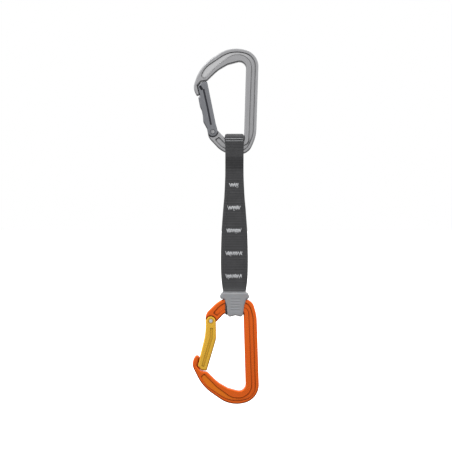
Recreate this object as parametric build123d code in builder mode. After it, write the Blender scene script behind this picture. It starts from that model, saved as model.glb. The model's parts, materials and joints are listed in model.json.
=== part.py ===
from build123d import *
import os

os.makedirs("parts", exist_ok=True)

# Climbing quickdraw, hanging as in use: a straight-gate carabiner for the bolt, a sewn
# sling, and a bent-gate carabiner for the rope.  Millimetres.  +Z is up, +X points from
# the gates to the spines, Y runs front to back.  The origin is where a bolt hanger
# bears on the inside of the upper crook.

# ---- carabiner frames ----
FRAME_T = 10.4  # front to back
RIM = 1.2  # rounding of every outside edge
CHANNEL = 1.7  # depth of the forged channel in each face
CHANNEL_EDGE = 0.8  # rounding at the channel's floor
ROPE_LEVEL = -310.3  # level of the rope seat: that frame is the upper one turned over
BOLT_HINGE = (-25.4, -66.6)  # rivet of the straight gate, in frame coordinates
ROPE_HINGE = (-27.1, -66.4)  # rivet of the bent gate, in frame coordinates
BOLT_BASKET = (-11.8, -74.6)  # inner corner between basket and hinge
ROPE_BASKET = (-14.4, -73.5)
ROPE_HEEL = 1.4  # how much fuller the rope frame's basket and nose are

# ---- hinges and gates ----
GATE_T = 9.4  # front to back
GATE_EDGE = 1.3  # rounding of the gates' long edges
GATE_HEAD = 4.7  # radius of a gate's round hinge end
HEAD_ROOM = 0.6  # gap between a gate's round end and the frame's shoulder
STRAIGHT_TILT = 11.8  # lean of the straight gate, degrees
GATE_OPEN = 27  # opening of both gates, degrees
SWEEP_STEP = 4
CHEEK_REACH = 14.0  # length of cheek that sweeps past the shoulder
TANG_T = 3.8  # frame's hinge tongue
FORK_GAP = 4.4  # slot in the gate for the tongue
FORK_DEPTH = 6.6
STRAIGHT_GROOVE_W = 1.7  # long groove in each face of the straight gate
BENT_GROOVE_W = 2.6  # and of the bent gate
GROOVE_DEPTH = 0.7
POCKET_W = 2.4  # small pocket beside the straight gate's key
POCKET_AT = (-2.3, 42.7)
POCKET_TURN = 110
POCKET_DEPTH = 1.6
RIVET_R = 1.25
RIVET_SEAT = 0.02  # clearance in the tongue
RIVET_FIT = 0.05  # running clearance in the gate
RIVET_HEAD_R = 1.9
RIVET_HEAD_H = 0.6
RIVET_HEAD_TAPER = 25
RIVET_SINK_R = 2.6  # sink round the rivet's head
RIVET_SINK = 0.4

# ---- spring and plunger in each gate ----
BORE_R = 1.7
BORE_X = 1.2  # offset of the bore from the rivet, towards the spine
BORE_END = 18.6
PLUNGER_R = 1.6
PLUNGER_TIP = 4.8  # distance of the tip from the rivet
PLUNGER_L = 5.4
PLUNGER_FLAT = 0.3  # radius of the flat left on its round nose
SPRING_GAP = 0.2
WIRE_R = 0.2
SPRING_R = 1.3
SPRING_TURNS = 8

# ---- key on the nose ----
NOSE_AT = (-38.95, -28.65)  # middle of the nose's inner face
NOSE_TILT = 14.2
BLADE_T = 3.4
BLADE_IN = 3.4  # reach of the key into the gate
BLADE_TOP = 9.4
KEY_R = 2.7  # round head of the key
KEY_Y = -1.0
KEY_ROOM = 0.65  # space round the key in the gate

# ---- sling ----
WEB_X = -5.0  # centre line of the sling
WEB_T = 1.9  # one layer of webbing
STRAP_HALF = 2.4  # half the sewn body: two layers and their filler
FLAT = 0.02  # flat left where two full roundings meet
EYE_HALF = 5.65  # half the inside thickness of either eye
EYE_HALF_WIDTH = 8.8
EYE_R = 6.5  # rounding of an eye over the basket
SHOULDER_R = 9.0  # rounding where an eye starts to close
THROAT_R = 6.0  # rounding where it meets the sewn strap
UPPER_EYE_END = -68.2
UPPER_SHOULDER = -90.3
UPPER_THROAT = -101.0
LOWER_EYE_END = -238.4
LOWER_SHOULDER = -219.7
LOWER_THROAT = -213.4
HOLLOW_TIP = 1.4  # how far short of the throat the hollow stops
HOLLOW_TIP_R = 0.6
FOLD_TOP = -108.0  # bend line below the upper eye
FOLD_BOTTOM = -208.3  # bend line above the keeper
FOLD_ROOM = 3.6  # distance from a bend line to the centre of each rounded end
TACK_T = 0.5
TACK_H = 4.0
TACK_R = 0.6
TACK_WIDTHS = [8.4, 11.8, 13.4, 15.2, 15.0]
TACK_X = WEB_X - 0.5
TACK_FIRST = -116.4
TACK_STEP = 21.4
SEAM_W = 0.9
SEAM_T = 0.25
SEAM_INSET = 3.4  # distance from the strap's edge

# ---- keeper ----
KEEPER_HALF = 9.6
KEEPER_EDGE = 1.2
KEEPER_FIT = 0.1

# ---- movement ----
EYE_SWING = 5  # sway of the upper eye in its basket, degrees each way
EYE_PIVOT = (WEB_X, -70.0)
ROCK = 4  # rocking of the rope frame in the keeper, degrees each way
ROCK_PIVOT = (WEB_X, -228.0)
ROOM = 0.35  # space round a frame inside an eye or the keeper

BOLT_PLANE = Plane.XZ
ROPE_PLANE = Plane(origin=(0, 0, ROPE_LEVEL), x_dir=(1, 0, 0), z_dir=(0, 1, 0))


def frame_corners(hinge, basket, heel):
    """Corners and fillet radii of a carabiner frame: outside from the nose tip to the
    hinge, then back along the inside.  heel is how much fuller basket and nose are."""
    hx, hy = hinge
    bx, by = basket
    return [
        (-40.45 - 0.3 * heel, -32.7 - 1.1 * heel, 1.3),
        (-44.0 - 1.5 * heel, -25.6 - 1.1 * heel, 11.0),
        (-37.1 + 1.5 * heel, -4.4 - 0.3 * heel, 40.0),
        (-8.4, 13.9, 30.0 - 1.5 * heel),
        (17.9 + 0.4 * heel, 7.0, 16.0 + 1.2 * heel),
        (15.4 + 0.4 * heel, -71.0, 36.0),
        (8.2 + 2.6 * heel, -86.8 + 0.6 * heel, 12.0 - 1.2 * heel),
        (-13.8 - heel, -88.6 - 0.7 * heel, 24.0),
        (-29.7 - 1.8 * heel, -71.6 - heel, 10.0),
        (hx - 5.0, hy + 4.6, 2.6),
        (hx + 2.0, hy + 4.2, 1.6),
        (bx, by, 8.3),
        (3.9 - 0.35 * heel, -76.0, 3.0),
        (6.1 - 0.35 * heel, 1.2, 6.3),
        (-11.2, -3.4, 6.3),
        (-20.7, -8.8, 32.0),
        (-30.6, -18.5, 1.4),
        (-36.5, -19.5, 1.0),
        (-40.2, -23.7, 1.4),
        (-38.05 + 0.2 * heel, -32.2 - 0.79 * heel, 1.25),
    ]


def channel_corners(hinge, basket, heel):
    """Corners and fillet radii of the channel forged into each face of a frame."""
    hx, hy = hinge
    bx, by = basket
    return [
        (-36.6, -14.6, 1.6),
        (-33.6, -6.6, 20.0),
        (-7.7, 10.8, 27.0),
        (15.3, 4.9, 13.0),
        (12.9, -70.3, 30.0),
        (6.0 + 2.2 * heel, -84.0 + 0.4 * heel, 9.0),
        (-12.6 - 1.1 * heel, -85.6 - 0.6 * heel, 21.0),
        (hx + 1.8, hy - 7.3, 1.2),
        (hx + 6.0, hy - 4.7, 1.2),
        (bx - 1.5, by - 3.1, 5.0),
        (7.9, -79.5, 5.5),
        (11.3, 6.2, 12.0),
        (-7.5, 5.2, 14.0),
        (-21.5, -5.0, 30.0),
        (-33.2, -17.0, 1.2),
    ]


def outline(corners):
    """Closed wire through corner points given as (x, y, fillet radius)."""
    FilletPolyline(
        *[(x, y) for x, y, radius in corners],
        radius=[radius for x, y, radius in corners],
        close=True,
    )


def gate_plane(frame_plane, hinge, tilt):
    """Plane at a hinge rivet with its y axis along the gate, towards the nose."""
    hx, hy = hinge
    return Plane(frame_plane.location * Pos(hx, hy, 0) * Rot(0, 0, tilt))


def bore_plane(gate, level):
    """Plane across a gate's spring bore at a distance from the rivet, facing the nose."""
    return Plane(gate.location * Pos(BORE_X, level, 0) * Rot(-90, 0, 0))


# ---- forged frames ----
def make_frame(frame_plane, hinge, basket, heel, tilt):
    """C-shaped bar with a channel in both faces, keyed nose and hinge tongue."""
    at_hinge = gate_plane(frame_plane, hinge, tilt)
    at_nose = gate_plane(frame_plane, NOSE_AT, NOSE_TILT)
    with BuildPart() as frame:
        with BuildSketch(frame_plane):
            with BuildLine():
                outline(frame_corners(hinge, basket, heel))
            make_face()
        extrude(amount=FRAME_T / 2, both=True)
        fillet(frame.faces().filter_by(Axis.Y).edges(), RIM)
        for side in (1, -1):
            with BuildSketch(frame_plane.offset(side * FRAME_T / 2)):
                with BuildLine():
                    outline(channel_corners(hinge, basket, heel))
                make_face()
            extrude(amount=-side * CHANNEL, mode=Mode.SUBTRACT)
            floor = frame.edges(Select.LAST).filter_by(at_channel_floor)
            fillet(floor, CHANNEL_EDGE)
        # room for the gate's cheeks either side of the tongue, over the whole swing
        for side in (1, -1):
            with BuildSketch(at_hinge.offset(side * TANG_T / 2)):
                Circle(GATE_HEAD + HEAD_ROOM)
                for swing in range(0, GATE_OPEN + SWEEP_STEP, SWEEP_STEP):
                    with Locations(Location((0, 0, 0), -swing)):
                        Rectangle(
                            2 * (GATE_HEAD + HEAD_ROOM),
                            CHEEK_REACH,
                            align=(Align.CENTER, Align.MIN),
                        )
            extrude(amount=side * FRAME_T, mode=Mode.SUBTRACT)
        with BuildSketch(at_hinge):
            Circle(RIVET_R + RIVET_SEAT)
        extrude(amount=FRAME_T, both=True, mode=Mode.SUBTRACT)
        # key on the nose: thin blade with a round head, inside the gate when closed
        with BuildSketch(at_nose):
            with Locations((-1, KEY_Y)):
                Rectangle(BLADE_IN + 1, BLADE_TOP - KEY_Y, align=(Align.MIN, Align.MIN))
        extrude(amount=BLADE_T / 2, both=True)
        with BuildSketch(key_plane(at_nose, -1)):
            Circle(KEY_R)
        extrude(amount=BLADE_IN + 1)
    return frame.part


def at_channel_floor(edge):
    """True for an edge that lies on the floor of either channel."""
    return abs(abs(edge.center().Y) - (FRAME_T / 2 - CHANNEL)) < 0.01


def key_plane(at_nose, across):
    """Plane across the key's round head, facing the spine."""
    return Plane(at_nose.location * Pos(across, KEY_Y, 0) * Rot(0, 90, 0))


def make_rivet(frame_plane, hinge):
    """Hinge rivet with a low domed head on each side."""
    base = gate_plane(frame_plane, hinge, 0)
    reach = GATE_T / 2 - RIVET_SINK + RIVET_FIT
    with BuildPart() as rivet:
        with BuildSketch(base):
            Circle(RIVET_R)
        extrude(amount=reach, both=True)
        for side in (1, -1):
            with BuildSketch(base.offset(side * reach)):
                Circle(RIVET_HEAD_R)
            extrude(amount=side * RIVET_HEAD_H, taper=RIVET_HEAD_TAPER)
    return rivet.part


# ---- gates: corners run from the hinge up the outer edge and back down the inner ----
STRAIGHT_GATE = [
    (-GATE_HEAD, 0.0, 0.0),
    (-GATE_HEAD, 4.0, 4.0),
    (-6.8, 11.0, 4.0),
    (-6.0, 17.0, 6.0),
    (-6.0, 21.5, 6.0),
    (-6.9, 26.0, 3.0),
    (-6.7, 34.2, 1.6),
    (-5.0, 35.4, 0.8),
    (-5.2, 44.4, 1.8),
    (-1.4, 47.7, 1.8),
    (4.6, 47.8, 1.6),
    (4.4, 7.0, 8.0),
    (GATE_HEAD, 3.0, 8.0),
    (GATE_HEAD, 0.0, 0.0),
]
BENT_GATE = [
    (-GATE_HEAD, 0.0, 0.0),
    (-5.4, 13.6, 60.0),
    (-12.65, 42.4, 1.5),
    (-9.3, 46.4, 1.8),
    (-3.9, 46.9, 1.6),
    (5.1, 16.8, 14.0),
    (GATE_HEAD, 0.0, 0.0),
]
STRAIGHT_GROOVE = [(-0.2, 6.8), (0.0, 24.0), (-0.2, 41.0)]
BENT_GROOVE = [(0.6, 6.6), (0.2, 16.0), (-7.6, 42.6)]


def make_gate(frame_plane, hinge, tilt, corners, groove, groove_w, pocketed):
    """Solid gate: fork over the hinge tongue, spring bore, keyhole for the nose, and in
    each face a long groove, a sink for the rivet's head and, if pocketed, a small pocket
    beside the key."""
    base = gate_plane(frame_plane, hinge, tilt)
    at_nose = gate_plane(frame_plane, NOSE_AT, NOSE_TILT)
    points = [(x, y) for x, y, radius in corners]
    with BuildPart() as gate:
        with BuildSketch(base):
            with BuildLine():
                FilletPolyline(*points, radius=[radius for x, y, radius in corners[1:-1]])
                ThreePointArc(points[-1], (0, -GATE_HEAD), points[0])
            make_face()
        extrude(amount=GATE_T / 2, both=True)
        fillet(gate.faces().filter_by(Axis.Y).edges(), GATE_EDGE)
        with BuildSketch(base):
            with Locations((0, FORK_DEPTH)):
                Rectangle(4 * GATE_HEAD, 4 * GATE_HEAD, align=(Align.CENTER, Align.MAX))
        extrude(amount=FORK_GAP / 2, both=True, mode=Mode.SUBTRACT)
        with BuildSketch(base):
            Circle(RIVET_R + RIVET_FIT)
        extrude(amount=GATE_T, both=True, mode=Mode.SUBTRACT)
        with BuildSketch(bore_plane(base, FORK_DEPTH - 1)):
            Circle(BORE_R)
        extrude(amount=BORE_END - FORK_DEPTH + 1, mode=Mode.SUBTRACT)
        # keyhole: a slot open at the gate's end, and a round pocket for the key's head
        with BuildSketch(at_nose):
            with Locations((-BLADE_TOP, KEY_Y)):
                Rectangle(
                    BLADE_TOP + BLADE_IN + KEY_ROOM,
                    2 * BLADE_TOP,
                    align=(Align.MIN, Align.MIN),
                )
        extrude(amount=BLADE_T / 2 + KEY_ROOM, both=True, mode=Mode.SUBTRACT)
        with BuildSketch(key_plane(at_nose, -BLADE_TOP)):
            Circle(KEY_R + KEY_ROOM)
        extrude(amount=BLADE_TOP + BLADE_IN + KEY_ROOM, mode=Mode.SUBTRACT)
        for side in (1, -1):
            face = base.offset(side * GATE_T / 2)
            with BuildSketch(face):
                with BuildLine():
                    Polyline(*groove)
                trace(line_width=groove_w)
            extrude(amount=-side * GROOVE_DEPTH, mode=Mode.SUBTRACT)
            with BuildSketch(face):
                Circle(RIVET_SINK_R)
            extrude(amount=-side * RIVET_SINK, mode=Mode.SUBTRACT)
            if pocketed:
                with BuildSketch(face):
                    with Locations(Location((*POCKET_AT, 0), POCKET_TURN)):
                        SlotCenterToCenter(POCKET_W, POCKET_W)
                extrude(amount=-side * POCKET_DEPTH, mode=Mode.SUBTRACT)
    return gate.part


def make_plunger(base):
    """Round-nosed pin that the spring presses on the hinge tongue."""
    with BuildPart() as plunger:
        with BuildSketch(bore_plane(base, PLUNGER_TIP)):
            Circle(PLUNGER_R)
        extrude(amount=PLUNGER_L)
        rings = plunger.edges().filter_by(GeomType.CIRCLE)
        fillet(rings.sort_by_distance(base.origin)[0], PLUNGER_R - PLUNGER_FLAT)
    return plunger.part


def make_spring(base):
    """Compression spring between the plunger and the end of the bore."""
    start = PLUNGER_TIP + PLUNGER_L + SPRING_GAP + WIRE_R
    height = BORE_END - SPRING_GAP - WIRE_R - start
    foot = bore_plane(base, start)
    with BuildPart() as spring:
        with BuildLine():
            coil = Helix(
                pitch=height / SPRING_TURNS,
                height=height,
                radius=SPRING_R,
                center=foot.origin,
                direction=foot.z_dir,
            )
        with BuildSketch(coil ^ 0):
            Circle(WIRE_R)
        sweep()
    return spring.part


# ---- sling: side profiles as (y, z, fillet radius), looking along the width ----
def eye_profile(eye_end, shoulder, throat, strap_end):
    """Outside of an eye: wide round the basket, drawn in to the sewn strap."""
    half = EYE_HALF + WEB_T
    return [
        (-half, eye_end, EYE_R),
        (half, eye_end, EYE_R),
        (half, shoulder, SHOULDER_R),
        (STRAP_HALF, throat, THROAT_R),
        (STRAP_HALF, strap_end, STRAP_HALF - FLAT),
        (-STRAP_HALF, strap_end, STRAP_HALF - FLAT),
        (-STRAP_HALF, throat, THROAT_R),
        (-half, shoulder, SHOULDER_R),
    ]


def eye_hollow(eye_end, shoulder, throat):
    """Inside of an eye, one webbing thickness in, closing to a point near its throat."""
    way = 1 if eye_end > shoulder else -1
    return [
        (-EYE_HALF, eye_end - way * WEB_T, EYE_R - WEB_T),
        (EYE_HALF, eye_end - way * WEB_T, EYE_R - WEB_T),
        (EYE_HALF, shoulder, SHOULDER_R),
        (0.0, throat + way * HOLLOW_TIP, HOLLOW_TIP_R),
        (-EYE_HALF, shoulder, SHOULDER_R),
    ]


def swept_frame(frame_plane, corners, pivot, swing):
    """Space that a frame takes inside an eye as it sways about a pivot, with room."""
    px, pz = pivot
    with BuildPart() as space:
        for angle in (-swing, 0, swing):
            turned = Plane(
                Location((px, 0, pz), (0, angle, 0))
                * Location((-px, 0, -pz))
                * frame_plane.location
            )
            with BuildSketch(turned):
                with BuildLine():
                    outline(corners)
                make_face()
                offset(amount=ROOM)
            extrude(amount=FRAME_T / 2 + ROOM, both=True)
    return space.part


def web_outline(rights):
    """Closed outline in front view from its right-hand corners (half width, z, radius)."""
    left = [(-half, z, radius) for half, z, radius in reversed(rights)]
    outline([(WEB_X + half, z, radius) for half, z, radius in rights + left])


STRAP_TOP = FOLD_TOP - FOLD_ROOM + STRAP_HALF
STRAP_BOTTOM = FOLD_BOTTOM + FOLD_ROOM - STRAP_HALF
UPPER_EYE_RIGHTS = [
    (EYE_HALF_WIDTH, UPPER_EYE_END + 1, 0.5),
    (EYE_HALF_WIDTH + 0.1, FOLD_TOP, 0.5),
]
STRAP_RIGHTS = [
    (9.0, STRAP_TOP, 0.4),
    (9.2, -120.0, 40.0),
    (12.8, -177.0, 60.0),
    (12.8, -194.0, 30.0),
    (11.8, STRAP_BOTTOM, 0.4),
]
LOWER_EYE_RIGHTS = [
    (11.7, FOLD_BOTTOM, 0.5),
    (10.6, -216.2, 0.8),
    (EYE_HALF_WIDTH, -217.5, 0.8),
    (EYE_HALF_WIDTH, LOWER_EYE_END - 1, 0.5),
]
SEAM_RUN = [(9.5, -122.0), (12.6, -173.0), (12.8, -194.0), (11.9, -205.5)]


def make_eye(profile, hollow, rights, frame_space):
    """Webbing eye: side profile across its width, trimmed to its front outline."""
    with BuildPart() as eye:
        with BuildSketch(Plane.YZ.offset(WEB_X)):
            with BuildLine():
                outline(profile)
            make_face()
            with BuildLine():
                outline(hollow)
            make_face(mode=Mode.SUBTRACT)
        extrude(amount=2 * EYE_HALF_WIDTH, both=True)
        with BuildSketch(Plane.XZ):
            with BuildLine():
                web_outline(rights)
            make_face()
        extrude(amount=KEEPER_HALF, both=True, mode=Mode.INTERSECT)
        add(frame_space, mode=Mode.SUBTRACT)
    return eye.part


def make_strap():
    """Sewn body of the sling, wider towards the rope, with rounded ends."""
    with BuildPart() as strap:
        with BuildSketch(Plane.XZ):
            with BuildLine():
                web_outline(STRAP_RIGHTS)
            make_face()
        extrude(amount=STRAP_HALF, both=True)
        ends = strap.faces().filter_by(Axis.Z).edges().filter_by(Axis.X)
        fillet(ends, STRAP_HALF - 0.02)
    return strap.part


# ---- thread ----
def make_bartack(level, width):
    """Dense band of thread across the strap, standing proud of both faces."""
    with BuildPart() as tack:
        for side in (1, -1):
            with BuildSketch(Plane.XZ.offset(side * STRAP_HALF)):
                with Locations((TACK_X, level)):
                    RectangleRounded(width, TACK_H, TACK_R)
            extrude(amount=side * TACK_T)
    return tack.part


def make_seam(way):
    """Row of edge stitching on both faces of the strap; way is 1 for the spine side."""
    with BuildPart() as seam:
        for side in (1, -1):
            with BuildSketch(Plane.XZ.offset(side * STRAP_HALF)):
                with BuildLine():
                    Polyline(*[(WEB_X + way * (half - SEAM_INSET), z) for half, z in SEAM_RUN])
                trace(line_width=SEAM_W)
            extrude(amount=side * SEAM_T)
    return seam.part


# ---- rubber keeper ----
KEEPER_CORNERS = [
    (-16.9, -217.3, 1.3),
    (-18.8, -220.6, 1.3),
    (-17.9, -223.0, 1.3),
    (-14.2, -223.4, 1.5),
    (-12.3, -229.0, 8.0),
    (-11.2, -240.6, 2.4),
    (-4.2, -238.5, 4.0),
    (2.6, -240.4, 2.4),
    (4.2, -229.0, 8.0),
    (6.0, -223.6, 1.5),
    (8.2, -223.0, 1.3),
    (9.0, -220.6, 1.3),
    (7.2, -217.3, 1.3),
]


def make_keeper(profile, frame_space):
    """Rubber sleeve that grips the lower eye on the rope frame's basket."""
    with BuildPart() as keeper:
        with BuildSketch(Plane.XZ):
            with BuildLine():
                outline(KEEPER_CORNERS)
            make_face()
        extrude(amount=KEEPER_HALF, both=True)
        fillet(keeper.faces().filter_by(Axis.Y).edges(), KEEPER_EDGE)
        with BuildSketch(Plane.YZ.offset(WEB_X)):
            with BuildLine():
                outline(profile)
            make_face()
            offset(amount=KEEPER_FIT)
        extrude(amount=EYE_HALF_WIDTH + KEEPER_FIT, both=True, mode=Mode.SUBTRACT)
        add(frame_space, mode=Mode.SUBTRACT)
    return keeper.part


# ---- the pieces ----
BOLT_CORNERS = frame_corners(BOLT_HINGE, BOLT_BASKET, 0.0)
ROPE_CORNERS = frame_corners(ROPE_HINGE, ROPE_BASKET, ROPE_HEEL)
STRAIGHT_BASE = gate_plane(BOLT_PLANE, BOLT_HINGE, STRAIGHT_TILT)
BENT_BASE = gate_plane(ROPE_PLANE, ROPE_HINGE, 0)
UPPER_SPACE = swept_frame(BOLT_PLANE, BOLT_CORNERS, EYE_PIVOT, EYE_SWING)
LOWER_SPACE = swept_frame(ROPE_PLANE, ROPE_CORNERS, ROCK_PIVOT, ROCK)
UPPER_END = FOLD_TOP + FOLD_ROOM - STRAP_HALF
LOWER_END = FOLD_BOTTOM - FOLD_ROOM + STRAP_HALF
UPPER_EYE = eye_profile(UPPER_EYE_END, UPPER_SHOULDER, UPPER_THROAT, UPPER_END)
UPPER_HOLLOW = eye_hollow(UPPER_EYE_END, UPPER_SHOULDER, UPPER_THROAT)
LOWER_EYE = eye_profile(LOWER_EYE_END, LOWER_SHOULDER, LOWER_THROAT, LOWER_END)
LOWER_HOLLOW = eye_hollow(LOWER_EYE_END, LOWER_SHOULDER, LOWER_THROAT)

pieces = {
    "top_frame": make_frame(BOLT_PLANE, BOLT_HINGE, BOLT_BASKET, 0.0, STRAIGHT_TILT),
    "top_gate": make_gate(
        BOLT_PLANE,
        BOLT_HINGE,
        STRAIGHT_TILT,
        STRAIGHT_GATE,
        STRAIGHT_GROOVE,
        STRAIGHT_GROOVE_W,
        True,
    ),
    "top_gate_rivet": make_rivet(BOLT_PLANE, BOLT_HINGE),
    "top_gate_plunger": make_plunger(STRAIGHT_BASE),
    "top_gate_spring": make_spring(STRAIGHT_BASE),
    "rope_frame": make_frame(ROPE_PLANE, ROPE_HINGE, ROPE_BASKET, ROPE_HEEL, 0),
    "rope_gate": make_gate(
        ROPE_PLANE, ROPE_HINGE, 0, BENT_GATE, BENT_GROOVE, BENT_GROOVE_W, False
    ),
    "rope_gate_rivet": make_rivet(ROPE_PLANE, ROPE_HINGE),
    "rope_gate_plunger": make_plunger(BENT_BASE),
    "rope_gate_spring": make_spring(BENT_BASE),
    "sling_top_loop": make_eye(UPPER_EYE, UPPER_HOLLOW, UPPER_EYE_RIGHTS, UPPER_SPACE),
    "sling_strap": make_strap(),
    "sling_bottom_loop": make_eye(LOWER_EYE, LOWER_HOLLOW, LOWER_EYE_RIGHTS, LOWER_SPACE),
    "edge_seam_left": make_seam(-1),
    "edge_seam_right": make_seam(1),
    "keeper": make_keeper(LOWER_EYE, LOWER_SPACE),
}
for number, width in enumerate(TACK_WIDTHS):
    level = TACK_FIRST - TACK_STEP * number
    pieces[f"bartack_{number + 1}"] = make_bartack(level, width)

for name, piece in pieces.items():
    piece.label = name
    export_step(piece, f"parts/{name}.step")
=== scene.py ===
import json
import math
import random

import bmesh
import bpy
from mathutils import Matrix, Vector
from mathutils.noise import noise


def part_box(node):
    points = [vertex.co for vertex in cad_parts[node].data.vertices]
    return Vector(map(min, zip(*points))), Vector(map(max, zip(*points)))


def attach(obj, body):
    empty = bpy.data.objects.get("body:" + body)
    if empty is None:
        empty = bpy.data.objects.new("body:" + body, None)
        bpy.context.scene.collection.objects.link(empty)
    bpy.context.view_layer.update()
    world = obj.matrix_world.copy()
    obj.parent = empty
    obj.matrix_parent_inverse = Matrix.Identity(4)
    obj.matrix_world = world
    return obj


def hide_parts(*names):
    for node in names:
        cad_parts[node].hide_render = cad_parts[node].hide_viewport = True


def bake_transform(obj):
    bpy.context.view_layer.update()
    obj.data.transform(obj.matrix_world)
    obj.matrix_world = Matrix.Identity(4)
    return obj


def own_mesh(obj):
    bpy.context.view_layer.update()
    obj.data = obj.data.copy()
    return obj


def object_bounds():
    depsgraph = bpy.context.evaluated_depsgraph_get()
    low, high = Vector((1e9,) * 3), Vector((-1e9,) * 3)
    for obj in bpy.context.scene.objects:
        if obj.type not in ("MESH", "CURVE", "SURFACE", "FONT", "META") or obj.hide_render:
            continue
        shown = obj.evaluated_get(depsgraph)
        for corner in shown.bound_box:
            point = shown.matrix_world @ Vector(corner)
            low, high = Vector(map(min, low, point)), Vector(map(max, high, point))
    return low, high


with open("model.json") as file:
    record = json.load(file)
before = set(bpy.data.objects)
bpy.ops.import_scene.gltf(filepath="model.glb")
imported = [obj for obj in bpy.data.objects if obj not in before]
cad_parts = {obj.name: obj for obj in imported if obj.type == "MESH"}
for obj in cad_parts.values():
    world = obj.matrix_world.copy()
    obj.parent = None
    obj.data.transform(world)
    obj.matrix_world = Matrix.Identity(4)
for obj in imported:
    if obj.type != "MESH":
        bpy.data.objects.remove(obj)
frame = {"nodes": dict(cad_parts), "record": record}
cad_low, cad_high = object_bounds()

MM = 0.001

# ---- what the CAD says ----
joints = {joint["name"]: joint for joint in frame["record"]["behaviour"]["joints"]}
STRAP_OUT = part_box("sling_strap")[1].y  # face of the sewn strap, from its middle plane
EYE_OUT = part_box("sling_top_loop")[1].y  # outside of an eye, from the same plane
UPPER_EYE_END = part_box("sling_top_loop")[1].z
LOWER_EYE_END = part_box("sling_bottom_loop")[0].z
FOLD_TOP = joints["sling_fold_top"]["pos_m"][2]
FOLD_BOTTOM = joints["sling_fold_bottom"]["pos_m"][2]
WEB_X = joints["sling_fold_top"]["pos_m"][0]

# ---- webbing ----
EYE_R = 6.4 * MM  # outside rounding of an eye over its bar
WEB_T = 1.8 * MM  # one layer round an eye
UPPER_SHOULDER = -90.3 * MM  # where the upper eye's sides start to close
UPPER_THROAT = -101.0 * MM  # where they meet the sewn strap
LOWER_SHOULDER = -219.7 * MM
LOWER_THROAT = -213.4 * MM
SHOULDER_R = 8.0 * MM
THROAT_R = 5.0 * MM
EYE_TAPER = 2.0 * MM  # way out from the strap over which a layer takes an eye's thickness
PLY_GAP = 0.12 * MM  # half the gap between the two sewn layers
SPLIT = -159.2 * MM  # where the upper and lower lengths meet, under the middle tack
FOLD_REACH = 4.4 * MM  # length either side of the upper bend line
LOWER_REACH = FOLD_REACH * 0.7  # and of the lower bend line, close above the keeper
ROW = 0.42 * MM  # mesh spacing along the webbing
COLUMNS = 60  # mesh columns across one face
RIB = 1.55 * MM  # pitch of the weave's cross ribs
RIB_H = 0.07 * MM  # half the height of a rib
HIGH_RIB = 0.05 * MM  # extra height of every second rib
WALE = 1.3 * MM  # pitch of the long yarn bundles
WALE_H = 0.05 * MM  # half the height of a bundle
UNEVEN_H = 0.05 * MM  # unevenness of the weave
UNEVEN = 500  # its bumps in a metre
WEB_EDGE = 0.55 * MM  # bulge of the rounded selvedge
EDGE_REACH = 1.1 * MM  # strip beside a selvedge that thins towards it
EDGE_THIN = 0.28  # share of the thickness lost at the selvedge

# ---- thread ----
THREAD_SIDES = 6
TACK_THREAD = 0.27 * MM  # radius
TACK_LAYERS = [(1.15 * MM, 0.0), (0.85 * MM, 0.35 * MM)]  # pitch and inset, top zigzag first
TACK_BED = 0.02 * MM  # how far under the strap's face a tack's base line lies
TACK_STRAY = 0.22 * MM  # how far a corner of a zigzag strays sideways
TACK_RAGGED = (-0.1 * MM, 0.55 * MM)  # and how far it may fall short
TACK_LIFT = 0.3 * MM  # rise of a stitch between its ends
TACK_SUNK = 0.14 * MM  # how deep its ends are drawn in
TACK_UNDER = 0.05 * MM  # how much lower the second zigzag lies
TAIL = 0.9 * MM  # loose end left at each bar tack
CROSS_THREAD = 0.2 * MM  # radius
CROSS_INSET = 0.7 * MM  # distance of its ends from the webbing's edges
UPPER_CROSS = (-73.2 * MM, -75.2 * MM)  # levels of the cross threads on the upper eye
LOWER_CROSS = (-216.9 * MM,)
SEAM_THREAD = 0.2 * MM  # radius
SEAM_STITCH = 2.5 * MM  # from one stitch to the next
SEAM_GAP = 0.5 * MM  # between stitches
SEAM_INSET = 3.4 * MM  # distance from the strap's edge
SEAM_BED = 0.1 * MM
SEAM_LIFT = 0.18 * MM
SEAM_SUNK = 0.12 * MM

# ---- keeper ----
KEEPER_VOXEL = 0.42 * MM  # mesh spacing of the moulded skin
KEEPER_FACE = 8.0 * MM  # the ribbed faces lie further out than this
KEEPER_RIB = 2.55 * MM  # pitch of the grip ribs, and of the grooves between them
KEEPER_RIB_H = 0.3 * MM  # depth of a groove
KEEPER_RIBS = 5  # how many grooves
KEEPER_RIB_HALF = 5.2 * MM  # half a groove's length
KEEPER_RIB_X = -4.1 * MM  # the grooves' middle
KEEPER_RIB_TOP = -223.6 * MM  # level of the highest groove

# ---- metal ----
FRAME_FLOOR = 3.52 * MM  # the channels' floors lie nearer the middle plane than this
GATE_FLOOR = 4.1 * MM  # and so do the floors of the gates' grooves
FLOOR_EDGE = 0.06 * MM  # step outwards over which the painted light on a floor ends, a highlight on the frames and shade on the gates
WALL_REACH = 4.0 * MM  # reach of the hollow that paints shade on a channel's walls
WALL_FADE = (-36.0 * MM, -27.0 * MM)  # the walls' painted shade is absent at the nose and full further in
CORNER_SHADE_REACH = 2.2 * MM  # how wide a corner takes painted shade


# ---- shading ----
class Value:
    """A number that varies over a surface; sums and products of it add Math nodes."""

    def __init__(self, finish, socket):
        self.finish, self.socket = finish, socket

    def maths(self, operation, first, second):
        settings = {"operation": operation}
        return self.finish.node("ShaderNodeMath", settings, {0: first, 1: second})

    def __add__(self, other):
        return self.maths("ADD", self, other)

    def __sub__(self, other):
        return self.maths("SUBTRACT", self, other)

    def __rsub__(self, other):
        return self.maths("SUBTRACT", other, self)

    def __mul__(self, other):
        return self.maths("MULTIPLY", self, other)

    __radd__ = __add__
    __rmul__ = __mul__


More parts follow.
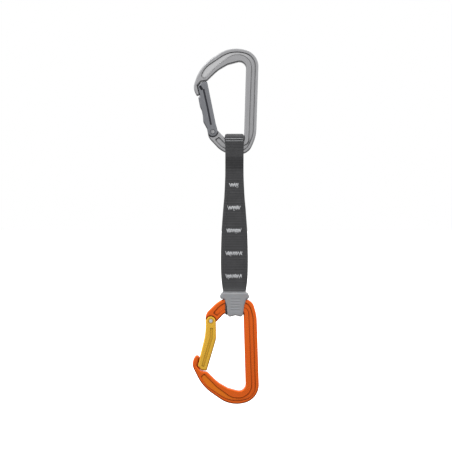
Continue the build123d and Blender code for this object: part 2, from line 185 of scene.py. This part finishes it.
class Finish:
    """A material, with the one way its nodes are made."""

    def __init__(self, name, **constants):
        self.material = bpy.data.materials.new(name)
        self.material.use_nodes = True
        self.tree = self.material.node_tree
        self.shader = self.tree.nodes["Principled BSDF"]
        for socket, amount in constants.items():
            self.shader.inputs[socket.replace("_", " ")].default_value = amount

    def node(self, kind, settings=None, sockets=None, output=0):
        """Adds a node: its settings first, then its sockets' values or links."""
        made = self.tree.nodes.new(kind)
        for key, setting in (settings or {}).items():
            setattr(made, key, setting)
        for key, fed in (sockets or {}).items():
            if isinstance(fed, Value):
                self.tree.links.new(fed.socket, made.inputs[key])
            else:
                made.inputs[key].default_value = fed
        return Value(self, made.outputs[output])

    def set(self, **fed):
        """Links values to the main shader's sockets."""
        for socket, value in fed.items():
            self.tree.links.new(value.socket, self.shader.inputs[socket.replace("_", " ")])

    def place(self):
        """Where a point lies on the resting piece, in metres."""
        return self.node("ShaderNodeTexCoord", output="Object")

    def along(self, name):
        """A measure stored on the mesh's points."""
        return self.node("ShaderNodeAttribute", {"attribute_name": name}, output="Fac")

    def cloud(self, scale, detail=2.0, rough=0.5, place=None):
        """Soft noise between 0 and 1."""
        sockets = {"Scale": scale, "Detail": detail, "Roughness": rough}
        sockets["Vector"] = place or self.place()
        return self.node("ShaderNodeTexNoise", None, sockets, output="Fac")

    def stretched(self, x, y, z):
        """The resting place, scaled along each axis."""
        sockets = {0: self.place(), 1: (x, y, z)}
        return self.node("ShaderNodeVectorMath", {"operation": "MULTIPLY"}, sockets)

    def ramp(self, value, low, high):
        """0 below low, 1 above high, smooth between."""
        settings = {"interpolation_type": "SMOOTHSTEP"}
        sockets = {"Value": value, "From Min": low, "From Max": high}
        return self.node("ShaderNodeMapRange", settings, sockets)

    def mix(self, factor, first, second):
        """Colour between first and second."""
        settings = {"data_type": "RGBA"}
        sockets = {"Factor": factor, 6: first, 7: second}
        return self.node("ShaderNodeMix", settings, sockets, output=2)

    def wave(self, value, pitch):
        """A sine of value that repeats every pitch, between 0 and 1."""
        turned = value * (2 * math.pi / pitch)
        return self.node("ShaderNodeMath", {"operation": "SINE"}, {0: turned}) * 0.5 + 0.5

    def depth(self):
        """How far in front of or behind the middle plane a point lies, in metres."""
        return self.node("ShaderNodeMath", {"operation": "ABSOLUTE"}, {0: self.measure("Y")})

    def measure(self, axis):
        """One coordinate of the resting place, in metres."""
        return self.node("ShaderNodeSeparateXYZ", None, {0: self.place()}, axis)

    def facing(self):
        """1 where the surface faces straight forwards or backwards, 0 side-on."""
        normal = self.node("ShaderNodeTexCoord", output="Normal")
        split = self.node("ShaderNodeSeparateXYZ", None, {0: normal}, "Y")
        return self.node("ShaderNodeMath", {"operation": "ABSOLUTE"}, {0: split})

    def crevice(self, reach, low=0.08, high=0.55):
        """0 in the open, 1 deep in a corner narrower than reach."""
        settings = {"samples": 12, "only_local": True}
        open_sky = self.node("ShaderNodeAmbientOcclusion", settings, {"Distance": reach}, "AO")
        return self.ramp(1.0 - open_sky, low, high)

    def bump(self, height, distance, strength=1.0):
        """Surface normal raised by height times distance."""
        sockets = {"Height": height, "Distance": distance, "Strength": strength}
        return self.node("ShaderNodeBump", None, sockets, output="Normal")


def colour(red, green, blue):
    return (red, green, blue, 1.0)


def anodised(name, base, dark, rough, coat, worn, sunk, sunk_depth, fades):
    """Forged and tumbled aluminium: dyed oxide with fine scuffs, and painted shade on its
    channel walls and in its corners.
    worn is how much the scuffs show.  Floors no further than sunk_depth from the middle
    plane take the colour sunk, a painted highlight on the frames and painted shade on the
    gates, and each of fades is an axis and the two places along it between which that colour
    comes in."""
    finish = Finish(name, Metallic=0.9, Coat_Weight=coat, Coat_Roughness=0.14)
    drift = finish.cloud(55.0, 3.0)
    grain = finish.cloud(1.0, 2.0, place=finish.stretched(4200.0, 4200.0, 900.0))
    pits = finish.cloud(2600.0, 2.0, 0.6)
    scratch = finish.cloud(1.0, 4.0, 0.7, finish.stretched(420.0, 420.0, 90.0))
    scuffs = finish.ramp(scratch, 0.58, 0.72)
    shade = finish.mix(drift * 0.6 + pits * 0.15, dark, base)
    facing = finish.facing()
    # Front- and back-facing floors take sunk, faded in by place along fades: a painted
    # highlight on the frames, painted shade on the gates.
    floor = finish.ramp(facing, 0.93, 0.99) * (
        1.0 - finish.ramp(finish.depth(), sunk_depth, sunk_depth + FLOOR_EDGE)
    )
    for axis, away, there in fades:
        floor = floor * finish.ramp(finish.measure(axis), away, there)
    shade = finish.mix(floor, shade, sunk)
    bright = finish.mix(scuffs * worn, shade, colour(0.72, 0.72, 0.72))
    # Painted shade: channel walls closed in by a hollow, fading out towards the nose, and
    # narrow corners are darkened towards deep.
    deep = colour(*(0.12 * part for part in dark[:3]))
    wall = finish.crevice(WALL_REACH, 0.1, 0.26) * (1.0 - finish.ramp(facing, 0.86, 0.99))
    wall = wall * finish.ramp(finish.measure("X"), *WALL_FADE)
    corner_shade = finish.crevice(CORNER_SHADE_REACH) * 0.9
    finish.set(
        Base_Color=finish.mix(wall * 0.9, finish.mix(corner_shade, bright, deep), deep),
        Roughness=drift * 0.1 + grain * 0.06 + (rough - 0.08) - scuffs * 0.04,
        Normal=finish.bump(pits * 0.7 + grain * 0.3, 0.008 * MM, 0.4),
    )
    return finish.material


def woven(name, base, light):
    """Flat nylon webbing: cross ribs over long yarn bundles, with a soft fuzz."""
    finish = Finish(name, Sheen_Weight=0.35, Sheen_Roughness=0.5, Specular_IOR_Level=0.25)
    across, along = finish.along("across"), finish.along("along")
    bundle = finish.wave(across, WALE / 2)
    rib = finish.wave(along, RIB)
    twist = finish.wave(along * 0.8 + across, 0.34 * MM)
    fuzz = finish.cloud(2400.0, 3.0, 0.7)
    drift = finish.cloud(120.0, 2.0)
    yarn = bundle * 0.35 + rib * 0.35 + twist * 0.3
    tone = finish.ramp(yarn * 0.55 + fuzz * 0.45 + drift * 0.2, 0.3, 0.9)
    finish.set(
        Base_Color=finish.mix(tone, base, light),
        Roughness=fuzz * 0.15 + 0.72,
        Normal=finish.bump(yarn + fuzz * 0.5, 0.09 * MM, 0.8),
    )
    return finish.material


def thread(name, base, light):
    """Twisted sewing thread."""
    finish = Finish(name, Sheen_Weight=0.25, Specular_IOR_Level=0.35)
    twist = finish.wave(finish.along("along") + finish.along("across") * 0.6, 0.3 * MM)
    fuzz = finish.cloud(3000.0, 3.0, 0.7)
    finish.set(
        Base_Color=finish.mix(twist * 0.6 + fuzz * 0.4, base, light),
        Roughness=fuzz * 0.2 + 0.5,
        Normal=finish.bump(twist + fuzz * 0.4, 0.05 * MM, 0.7),
    )
    return finish.material


def rubber(name, base, light):
    """Moulded rubber: matt, finely grained, a little dusty on the high spots."""
    finish = Finish(name, Specular_IOR_Level=0.4, Subsurface_Weight=0.05)
    grain = finish.cloud(1900.0, 3.0, 0.6)
    drift = finish.cloud(90.0, 3.0)
    finish.set(
        Base_Color=finish.mix(drift * 0.6 + grain * 0.4, base, light),
        Roughness=grain * 0.16 + drift * 0.1 + 0.46,
        Normal=finish.bump(grain, 0.05 * MM, 0.55),
    )
    return finish.material


def steel(name, base, rough):
    """Turned and tumbled steel."""
    finish = Finish(name, Metallic=1.0)
    grain = finish.cloud(2200.0, 2.0, 0.6)
    drift = finish.cloud(300.0, 2.0)
    finish.set(
        Base_Color=finish.mix(drift * 0.5, base, colour(0.9, 0.9, 0.9)),
        Roughness=grain * 0.15 + (rough - 0.05),
        Normal=finish.bump(grain, 0.008 * MM, 0.6),
    )
    return finish.material


FINISHES = {
    "satin_aluminium": anodised(
        "satin aluminium",
        base=colour(0.44, 0.44, 0.45),
        dark=colour(0.36, 0.36, 0.37),
        rough=0.30,
        coat=0.0,
        worn=0.2,
        # sunk: painted highlight on the channel floors, brighter towards the left and the top
        sunk=colour(0.60, 0.60, 0.61),
        sunk_depth=FRAME_FLOOR,
        fades=[("X", 14.0 * MM, 2.0 * MM), ("Z", -60.0 * MM, -16.0 * MM)],
    ),
    "blue_grey_anodised": anodised(
        "blue-grey anodising",
        base=colour(0.262, 0.268, 0.285),
        dark=colour(0.20, 0.205, 0.222),
        rough=0.32,
        coat=0.0,
        worn=0.15,
        # sunk: painted shade in the gate's groove
        sunk=colour(0.06, 0.06, 0.072),
        sunk_depth=GATE_FLOOR,
        fades=[],
    ),
    "orange_anodised": anodised(
        "orange anodising",
        base=colour(1.0, 0.175, 0.014),
        dark=colour(0.9, 0.13, 0.009),
        rough=0.27,
        coat=0.2,
        worn=0.02,
        # sunk: painted highlight on the channel floors, brighter towards the left and the
        # bottom
        sunk=colour(1.0, 0.235, 0.012),
        sunk_depth=FRAME_FLOOR,
        fades=[("X", 10.0 * MM, -22.0 * MM), ("Z", -270.0 * MM, -292.0 * MM)],
    ),
    "gold_anodised": anodised(
        "gold anodising",
        base=colour(1.0, 0.60, 0.07),
        dark=colour(0.92, 0.50, 0.045),
        rough=0.27,
        coat=0.2,
        worn=0.03,
        # sunk: painted shade on the gate's sunken faces
        sunk=colour(0.86, 0.46, 0.035),
        sunk_depth=GATE_FLOOR,
        fades=[],
    ),
    "rivet_steel": steel("rivet steel", colour(0.66, 0.66, 0.66), 0.26),
    "dark_rivet": steel("dull rivet steel", colour(0.2, 0.2, 0.215), 0.36),
    "pin_steel": steel("plunger steel", colour(0.56, 0.56, 0.57), 0.3),
    "spring_steel": steel("spring wire", colour(0.5, 0.5, 0.5), 0.32),
    "webbing": woven(
        "charcoal webbing",
        base=colour(0.032, 0.032, 0.034),
        light=colour(0.088, 0.088, 0.092),
    ),
    "seam_thread": thread(
        "dark seam thread",
        base=colour(0.03, 0.03, 0.032),
        light=colour(0.075, 0.075, 0.08),
    ),
    "tack_thread": thread(
        "light tack thread",
        base=colour(0.5, 0.51, 0.53),
        light=colour(0.8, 0.81, 0.83),
    ),
    "grey_rubber": rubber(
        "grey rubber",
        base=colour(0.29, 0.29, 0.305),
        light=colour(0.40, 0.40, 0.415),
    ),
}


def finish_piece(piece, slot_name, body=None, nodes=()):
    """Gives a new piece its finish, its body and the CAD nodes that it stands for."""
    piece.data.materials.clear()
    piece.data.materials.append(FINISHES[slot_name])
    if nodes:
        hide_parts(*nodes)
    if body:
        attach(piece, body)
    return piece


# ---- CAD nodes that stay ----
for part in frame["record"]["subparts"]:
    node = frame["nodes"][part["node"]]
    for material_slot in node.material_slots:
        material_slot.material = FINISHES[part["material_slot"]]


# ---- mesh helpers ----
def mesh_piece(name, points, faces, measures=None):
    """A mesh object from points in metres, with any measures stored on its points."""
    mesh = bpy.data.meshes.new(name)
    mesh.from_pydata(points, [], faces)
    for key, amounts in (measures or {}).items():
        mesh.attributes.new(key, "FLOAT", "POINT").data.foreach_set("value", amounts)
    for face in mesh.polygons:
        face.use_smooth = True
    mesh.validate()
    mesh.update()
    made = bpy.data.objects.new(name, mesh)
    bpy.context.scene.collection.objects.link(made)
    return made


def turn_outward(piece):
    """Makes every face of a closed mesh face outwards."""
    shell = bmesh.new()
    shell.from_mesh(piece.data)
    bmesh.ops.recalc_face_normals(shell, faces=shell.faces)
    shell.to_mesh(piece.data)
    shell.free()


def between(stops, place):
    """Amount at a place, between (place, amount) stops."""
    if place <= stops[0][0]:
        return stops[0][1]
    for (a, low), (b, high) in zip(stops, stops[1:]):
        if place <= b:
            t = (place - a) / (b - a)
            return low + (high - low) * t
    return stops[-1][1]


# ---- webbing: levels from the bottom up, each with half the width there ----
HALF_WIDTHS = [
    (-238.4, 8.6),
    (-219.2, 8.7),
    (-217.6, 10.5),
    (-213.0, 11.3),
    (-207.0, 12.1),
    (-201.5, 12.5),
    (-196.0, 12.7),
    (-185.0, 12.8),
    (-173.0, 12.6),
    (-162.0, 12.3),
    (-151.0, 11.5),
    (-139.0, 10.6),
    (-128.0, 9.6),
    (-117.0, 9.0),
    (-108.0, 8.65),
    (-98.0, 8.6),
    (-80.0, 8.6),
    (-75.0, 9.1),
    (-72.0, 9.2),
    (-70.0, 8.9),
    (-68.8, 8.2),
    (-68.2, 7.4),
]
HALF_WIDTHS = [(z * MM, half * MM) for z, half in HALF_WIDTHS]


def resample(path, step):
    """Points at an even spacing along a path of 2-D points."""
    lengths = [0.0]
    for first, second in zip(path, path[1:]):
        lengths.append(lengths[-1] + (second - first).length)
    count = max(2, round(lengths[-1] / step))
    evened, leg = [], 0
    for index in range(count + 1):
        target = lengths[-1] * index / count
        while leg < len(path) - 2 and lengths[leg + 1] < target:
            leg += 1
        span = lengths[leg + 1] - lengths[leg]
        t = (target - lengths[leg]) / span if span else 0.0
        evened.append(path[leg].lerp(path[leg + 1], t))
    return evened


def turned(spoke, angle):
    """A 2-D vector turned through an angle."""
    x = spoke.x * math.cos(angle) - spoke.y * math.sin(angle)
    y = spoke.x * math.sin(angle) + spoke.y * math.cos(angle)
    return Vector((x, y))


def rounded(corners, steps=14):
    """2-D path through corners given as (y, z, radius), in metres, with arcs."""
    path = [Vector(corners[0][:2])]
    for before, here, after in zip(corners, corners[1:], corners[2:]):
        a, corner, b = Vector(before[:2]), Vector(here[:2]), Vector(after[:2])
        into, out = (a - corner).normalized(), (b - corner).normalized()
        half = into.angle(out) / 2
        reach = here[2] / math.tan(half)
        middle = corner + (into + out).normalized() * (here[2] / math.sin(half))
        start, stop = corner + into * reach, corner + out * reach
        sweep = (start - middle).angle_signed(stop - middle)
        for index in range(steps + 1):
            path.append(middle + turned(start - middle, -sweep * index / steps))
    path.append(Vector(corners[-1][:2]))
    return path


def layer_ring():
    """Places round a layer's section, as shares of its half width and half thickness:
    along the outer face, round one selvedge, back along the inner face, round the other."""
    ring = []
    for index in range(COLUMNS + 1):
        ring.append((-1 + 2 * index / COLUMNS, 1.0))
    for turn in (60, 30, 0, -30, -60):
        ring.append((1 + math.cos(math.radians(turn)), math.sin(math.radians(turn))))
    for index in range(COLUMNS // 2 + 1):
        ring.append((1 - 4 * index / COLUMNS, -1.0))
    for turn in (-60, -30, 0, 30, 60):
        ring.append((-1 - math.cos(math.radians(turn)), math.sin(math.radians(turn))))
    return ring


def weave(x, y, z, edge):
    """Height of the woven face, from its highest ribs; edge is 1 at the selvedge."""
    height = RIB_H * math.cos(2 * math.pi * z / RIB)
    height += HIGH_RIB * math.cos(math.pi * z / RIB)
    height += WALE_H * math.cos(2 * math.pi * x / WALE) * (1 - edge)
    height += UNEVEN_H * noise(Vector((x, y, z)) * UNEVEN)
    return height - RIB_H - HIGH_RIB - WALE_H


def webbing(name, eye_end, shoulder, throat, way):
    """A length of webbing: up one side of the strap, round an eye, back to the split.
    way is 1 for the upper eye and -1 for the lower.  Comes with the line of its front
    face, as (z, y)."""
    ply = (STRAP_OUT + PLY_GAP) / 2  # middle of a sewn layer
    eye_y = EYE_OUT - WEB_T / 2
    top = eye_end - way * WEB_T / 2
    corners = [
        (-ply, SPLIT, 0.0),
        (-ply, throat, THROAT_R),
        (-eye_y, shoulder, SHOULDER_R),
        (-eye_y, top, EYE_R - WEB_T / 2),
        (eye_y, top, EYE_R - WEB_T / 2),
        (eye_y, shoulder, SHOULDER_R),
        (ply, throat, THROAT_R),
        (ply, SPLIT, 0.0),
    ]
    path = resample(rounded(corners), ROW)
    half_strap, half_eye = (STRAP_OUT - PLY_GAP) / 2, WEB_T / 2
    ring = layer_ring()
    points, across, along, faces = [], [], [], []
    run, front_line = 0.0, []
    for index, spot in enumerate(path):
        if index:
            run += (spot - path[index - 1]).length
        ahead = path[min(index + 1, len(path) - 1)] - path[max(index - 1, 0)]
        ahead.normalize()
        outward = Vector((-ahead.y, ahead.x)) * way
        z = spot.y
        half = between(HALF_WIDTHS, z) - WEB_EDGE
        eyed = min(1.0, abs(abs(spot.x) - ply) / EYE_TAPER)
        thick = half_strap + (half_eye - half_strap) * eyed
        if spot.x < 0:
            front_line.append((z + outward.y * thick, spot.x + outward.x * thick))
        for share, skin in ring:
            x = share * half
            if abs(share) > 1:
                x = math.copysign(half + (abs(share) - 1) * WEB_EDGE, share)
            edge = max(0.0, 1 - (half - abs(x)) / EDGE_REACH) if abs(share) <= 1 else 1.0
            height = thick * skin * (1 - EDGE_THIN * edge * edge)
            if abs(share) <= 1:
                height += skin * weave(x, spot.x, z, edge)
            y = spot.x + outward.x * height
            points.append((WEB_X + x, y, spot.y + outward.y * height))
            across.append(x)
            along.append(z if abs(spot.x) < eye_y - MM else run)
    width = len(ring)
    for row in range(len(path) - 1):
        for column in range(width):
            a = row * width + column
            b = row * width + (column + 1) % width
            faces.append((a, b, b + width, a + width))
    faces.append(tuple(range(width - 1, -1, -1)))
    faces.append(tuple(range((len(path) - 1) * width, len(path) * width)))
    measures = {"across": across, "along": along}
    piece = mesh_piece(name, points, faces, measures)
    turn_outward(piece)
    return piece, sorted(front_line)


upper_web, upper_front = webbing(
    "upper_webbing", UPPER_EYE_END, UPPER_SHOULDER, UPPER_THROAT, 1
)
finish_piece(upper_web, "webbing", None, ["sling_top_loop", "sling_strap"])
FOLD_TOP + FOLD_REACH
FOLD_TOP - FOLD_REACH
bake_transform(upper_web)
lower_web, lower_front = webbing(
    "lower_webbing", LOWER_EYE_END, LOWER_SHOULDER, LOWER_THROAT, -1
)
finish_piece(lower_web, "webbing", None, ["sling_bottom_loop"])
FOLD_BOTTOM + LOWER_REACH
FOLD_BOTTOM - LOWER_REACH
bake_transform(lower_web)


# ---- thread ----
def stitches(name, runs, radius, sides=THREAD_SIDES):
    """Thread tubes along runs of 3-D points."""
    points, faces, along, across = [], [], [], []
    for run in runs:
        first, length = len(points), 0.0
        for index, spot in enumerate(run):
            ahead = (run[min(index + 1, len(run) - 1)] - run[max(index - 1, 0)]).normalized()
            aside = ahead.cross(Vector((0, 1, 0)))
            if aside.length < 0.2:
                aside = ahead.cross(Vector((1, 0, 0)))
            aside.normalize()
            up = aside.cross(ahead)
            if index:
                length += (spot - run[index - 1]).length
            for side in range(sides):
                turn = 2 * math.pi * side / sides
                offset = (aside * math.cos(turn) + up * math.sin(turn)) * radius
                points.append(tuple(spot + offset))
                along.append(length)
                across.append(turn * radius)
        for row in range(len(run) - 1):
            for side in range(sides):
                a = first + row * sides + side
                b = first + row * sides + (side + 1) % sides
                faces.append((a, b, b + sides, a + sides))
        faces.append(tuple(range(first, first + sides)))
        faces.append(tuple(range(len(points) - 1, len(points) - sides - 1, -1)))
    piece = mesh_piece(name, points, faces, {"along": along, "across": across})
    turn_outward(piece)
    return piece


draw = random.Random(11)


def arch(t, lift, sunk):
    """Height of a stitch over the face it is sewn to, at a share t of its length."""
    return math.sin(math.pi * t) ** 0.5 * lift - sunk


def tack(node):
    """Bar tack on both faces: an open zigzag over a closer, shorter one, both ragged, and
    a loose tail."""
    low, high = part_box(node)
    runs = []
    for side in (-1, 1):
        face = side * (STRAP_OUT - TACK_BED)
        for layer, (pitch, inset) in enumerate(TACK_LAYERS):
            count = round((high.x - low.x) / pitch)
            corners = []
            for index in range(count + 1):
                x = low.x + (high.x - low.x) * index / count
                x += draw.uniform(-TACK_STRAY, TACK_STRAY)
                ragged = draw.uniform(*TACK_RAGGED) + inset
                z = low.z + ragged if index % 2 else high.z - ragged
                corners.append((x, z))
            for (x0, z0), (x1, z1) in zip(corners, corners[1:]):
                run = []
                for step in range(9):
                    t = step / 8
                    lift = arch(t, TACK_LIFT, TACK_SUNK) - TACK_UNDER * layer
                    spot = (x0 + (x1 - x0) * t, face + side * lift, z0 + (z1 - z0) * t)
                    run.append(Vector(spot))
                runs.append(run)
        x, bend = draw.uniform(low.x, high.x), draw.uniform(-0.6, 0.6) * TAIL
        tail = []
        for step in range(7):
            t = step / 6
            lift = (0.28 + 0.2 * math.sin(math.pi * t)) * MM
            tail.append(Vector((x + bend * t * t, face + side * lift, low.z - TAIL * t)))
        runs.append(tail)
    sewn = stitches(node + "_thread", runs, TACK_THREAD)
    return finish_piece(sewn, "tack_thread", "strap", [node])


def cross_threads(name, body, front, levels):
    """Thin light threads woven across an eye, on both faces."""
    runs = []
    for side in (-1, 1):
        for level in levels:
            half = between(HALF_WIDTHS, level) - CROSS_INSET
            run = []
            for step in range(25):
                x = WEB_X + half * (step / 12 - 1)
                depth = -between(front, level) - 0.02 * MM + draw.uniform(-0.02, 0.02) * MM
                run.append(Vector((x, side * depth, level + draw.uniform(-0.05, 0.05) * MM)))
            runs.append(run)
    return finish_piece(stitches(name, runs, CROSS_THREAD), "tack_thread", body)


cross_threads("upper_cross_threads", "upper_eye", upper_front, UPPER_CROSS)
cross_threads("lower_cross_threads", "lower_eye", lower_front, LOWER_CROSS)

for number in range(1, 6):
    tack(f"bartack_{number}")


def seam(node, way):
    """Lock stitches along one edge of the strap, on both faces."""
    low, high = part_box(node)
    runs = []
    for side in (-1, 1):
        face = side * (STRAP_OUT - SEAM_BED)
        z = high.z
        while z - SEAM_STITCH > low.z:
            run = []
            for step in range(7):
                t = step / 6
                level = z - t * (SEAM_STITCH - SEAM_GAP)
                x = WEB_X + way * (between(HALF_WIDTHS, level) - SEAM_INSET)
                lift = arch(t, SEAM_LIFT, SEAM_SUNK)
                run.append(Vector((x, face + side * lift, level)))
            runs.append(run)
            z -= SEAM_STITCH
    sewn = stitches(node + "_thread", runs, SEAM_THREAD)
    return finish_piece(sewn, "seam_thread", "strap", [node])


seam("edge_seam_left", -1)
seam("edge_seam_right", 1)


# ---- rubber keeper ----
def moulded_keeper():
    """The keeper with soft moulded corners and grip ribs on its front and back."""
    piece = bpy.data.objects.new("ribbed_keeper", frame["nodes"]["keeper"].data.copy())
    bpy.context.scene.collection.objects.link(piece)
    remesh = piece.modifiers.new("skin", "REMESH")
    remesh.mode = "VOXEL"
    remesh.voxel_size = KEEPER_VOXEL
    soften = piece.modifiers.new("soften", "SMOOTH")
    soften.iterations = 3
    soften.factor = 0.5
    bpy.context.view_layer.update()
    evaluated = piece.evaluated_get(bpy.context.evaluated_depsgraph_get())
    skin = bpy.data.meshes.new_from_object(evaluated)
    piece.modifiers.clear()
    piece.data = skin
    for face in skin.polygons:
        face.use_smooth = True
    for vertex in skin.vertices:
        place, normal = vertex.co, vertex.normal
        facing = max(0.0, abs(normal.y) - 0.5) * 2
        below = (KEEPER_RIB_TOP - place.z) / KEEPER_RIB
        inset = (KEEPER_RIB_HALF - abs(place.x - KEEPER_RIB_X)) / MM
        if abs(place.y) > KEEPER_FACE and -0.5 < below < KEEPER_RIBS - 0.5 and inset > 0:
            groove = (0.5 + 0.5 * math.cos(2 * math.pi * below)) ** 2
            vertex.co = place - normal * (KEEPER_RIB_H * groove * min(1.0, inset) * facing)
    return piece


keeper = moulded_keeper()
finish_piece(keeper, "grey_rubber", "lower_eye", ["keeper"])


# ---- gate springs ----
def gate_spring(node, body):
    """The CAD coil, copied as a piece of its own on the gate's body."""
    coil = bpy.data.objects.new(node + "_coil", frame["nodes"][node].data.copy())
    bpy.context.scene.collection.objects.link(coil)
    finish_piece(coil, "spring_steel", body, [node])
    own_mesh(coil)


gate_spring("top_gate_spring", "straight_gate")
gate_spring("rope_gate_spring", "bent_gate")


# ---- studio ----
TENT_STEPS = [  # brightness of the light tent by height: -1 straight down, 1 straight up
    (-1.0, 0.10),
    (-0.4, 0.22),
    (-0.12, 0.62),
    (0.0, 0.95),
    (0.3, 1.0),
    (0.6, 1.15),
    (1.0, 1.3),
]


TENT_REACH = 4.0  # radius
TENT_LEAN = 0.22  # how much brighter the tent is on the left, and duller on the right
FLOOR_HALF = 80.0
FLOOR_DROP = 60 * MM  # below the object's lowest point
LAMPS = [  # name, place, width and watts
    ("key light", (-0.9, -0.7, 1.1), 0.6, 5.0),
    ("fill light", (1.1, -0.9, 0.1), 0.9, 1.5),
    ("back light", (0.2, 1.3, 0.9), 0.8, 3.0),
]
CAMERA_X = -0.0129
CAMERA_Z = -0.1549
CAMERA_AWAY = 1.7
VIEW_WIDTH = 0.425  # what the camera takes in at the object


def light_tent(centre, reach):
    """Round tent of soft light about the object, brighter above and on the left; the
    camera sees past it."""
    rings, spokes = 24, 48
    points, faces, glow = [], [], []
    for ring in range(rings + 1):
        rise = math.pi * (ring / rings - 0.5)
        for spoke in range(spokes):
            turn = 2 * math.pi * spoke / spokes
            flat = math.cos(rise) * reach
            points.append(
                (
                    centre.x + flat * math.cos(turn),
                    centre.y + flat * math.sin(turn),
                    centre.z + reach * math.sin(rise),
                )
            )
            aside = 1.0 - TENT_LEAN * math.cos(turn) * math.cos(rise)
            glow.append(between(TENT_STEPS, math.sin(rise)) * aside)
    for ring in range(rings):
        for spoke in range(spokes):
            a = ring * spokes + spoke
            b = ring * spokes + (spoke + 1) % spokes
            faces.append((a, b, b + spokes, a + spokes))
    tent = mesh_piece("light_tent", points, faces, {"glow": glow})
    cloth = Finish("tent cloth", Roughness=1.0)
    shine = cloth.node("ShaderNodeEmission", None, {"Strength": cloth.along("glow")})
    cloth.tree.links.new(shine.socket, cloth.tree.nodes["Material Output"].inputs["Surface"])
    tent.data.materials.append(cloth.material)
    tent.visible_camera = False


def studio():
    """Pale floor, soft lights and the camera."""
    scene = bpy.context.scene
    scene.view_settings.view_transform = "Standard"
    world = bpy.data.worlds.new("studio air")
    world.use_nodes = True
    air = world.node_tree.nodes["Background"].inputs
    air["Color"].default_value = colour(1.0, 1.0, 1.0)
    air["Strength"].default_value = 1.0
    scene.world = world

    middle = (cad_low + cad_high) / 2
    light_tent(middle, TENT_REACH)
    level = cad_low.z - FLOOR_DROP
    corners = ((-1, -1), (1, -1), (1, 1), (-1, 1))
    spread = [(x * FLOOR_HALF, y * FLOOR_HALF, level) for x, y in corners]
    floor = mesh_piece("floor", spread, [(0, 1, 2, 3)])
    paint = Finish("floor paint", Roughness=0.9, Specular_IOR_Level=0.1, Emission_Strength=1.0)
    tint = paint.cloud(1.2)
    paint.set(
        Base_Color=paint.mix(tint, colour(0.9, 0.9, 0.9), colour(0.93, 0.93, 0.93)),
        Emission_Color=paint.mix(tint, colour(0.70, 0.70, 0.70), colour(0.72, 0.72, 0.72)),
    )
    floor.data.materials.append(paint.material)
    floor.visible_diffuse = False
    floor.visible_glossy = False

    for name, place, size, power in LAMPS:
        light = bpy.data.lights.new(name, "AREA")
        light.size, light.energy = size, power
        lamp = bpy.data.objects.new(name, light)
        lamp.location = place
        lamp.rotation_euler = (middle - Vector(place)).to_track_quat("-Z", "Y").to_euler()
        scene.collection.objects.link(lamp)

    lens = bpy.data.cameras.new("camera")
    lens.sensor_width = 36.0
    lens.lens = lens.sensor_width * CAMERA_AWAY / VIEW_WIDTH
    lens.clip_start, lens.clip_end = 0.05, 200.0
    camera = bpy.data.objects.new("camera", lens)
    camera.location = (CAMERA_X, -CAMERA_AWAY, CAMERA_Z)
    camera.rotation_euler = (math.pi / 2, 0.0, 0.0)
    scene.collection.objects.link(camera)
    scene.camera = camera


studio()
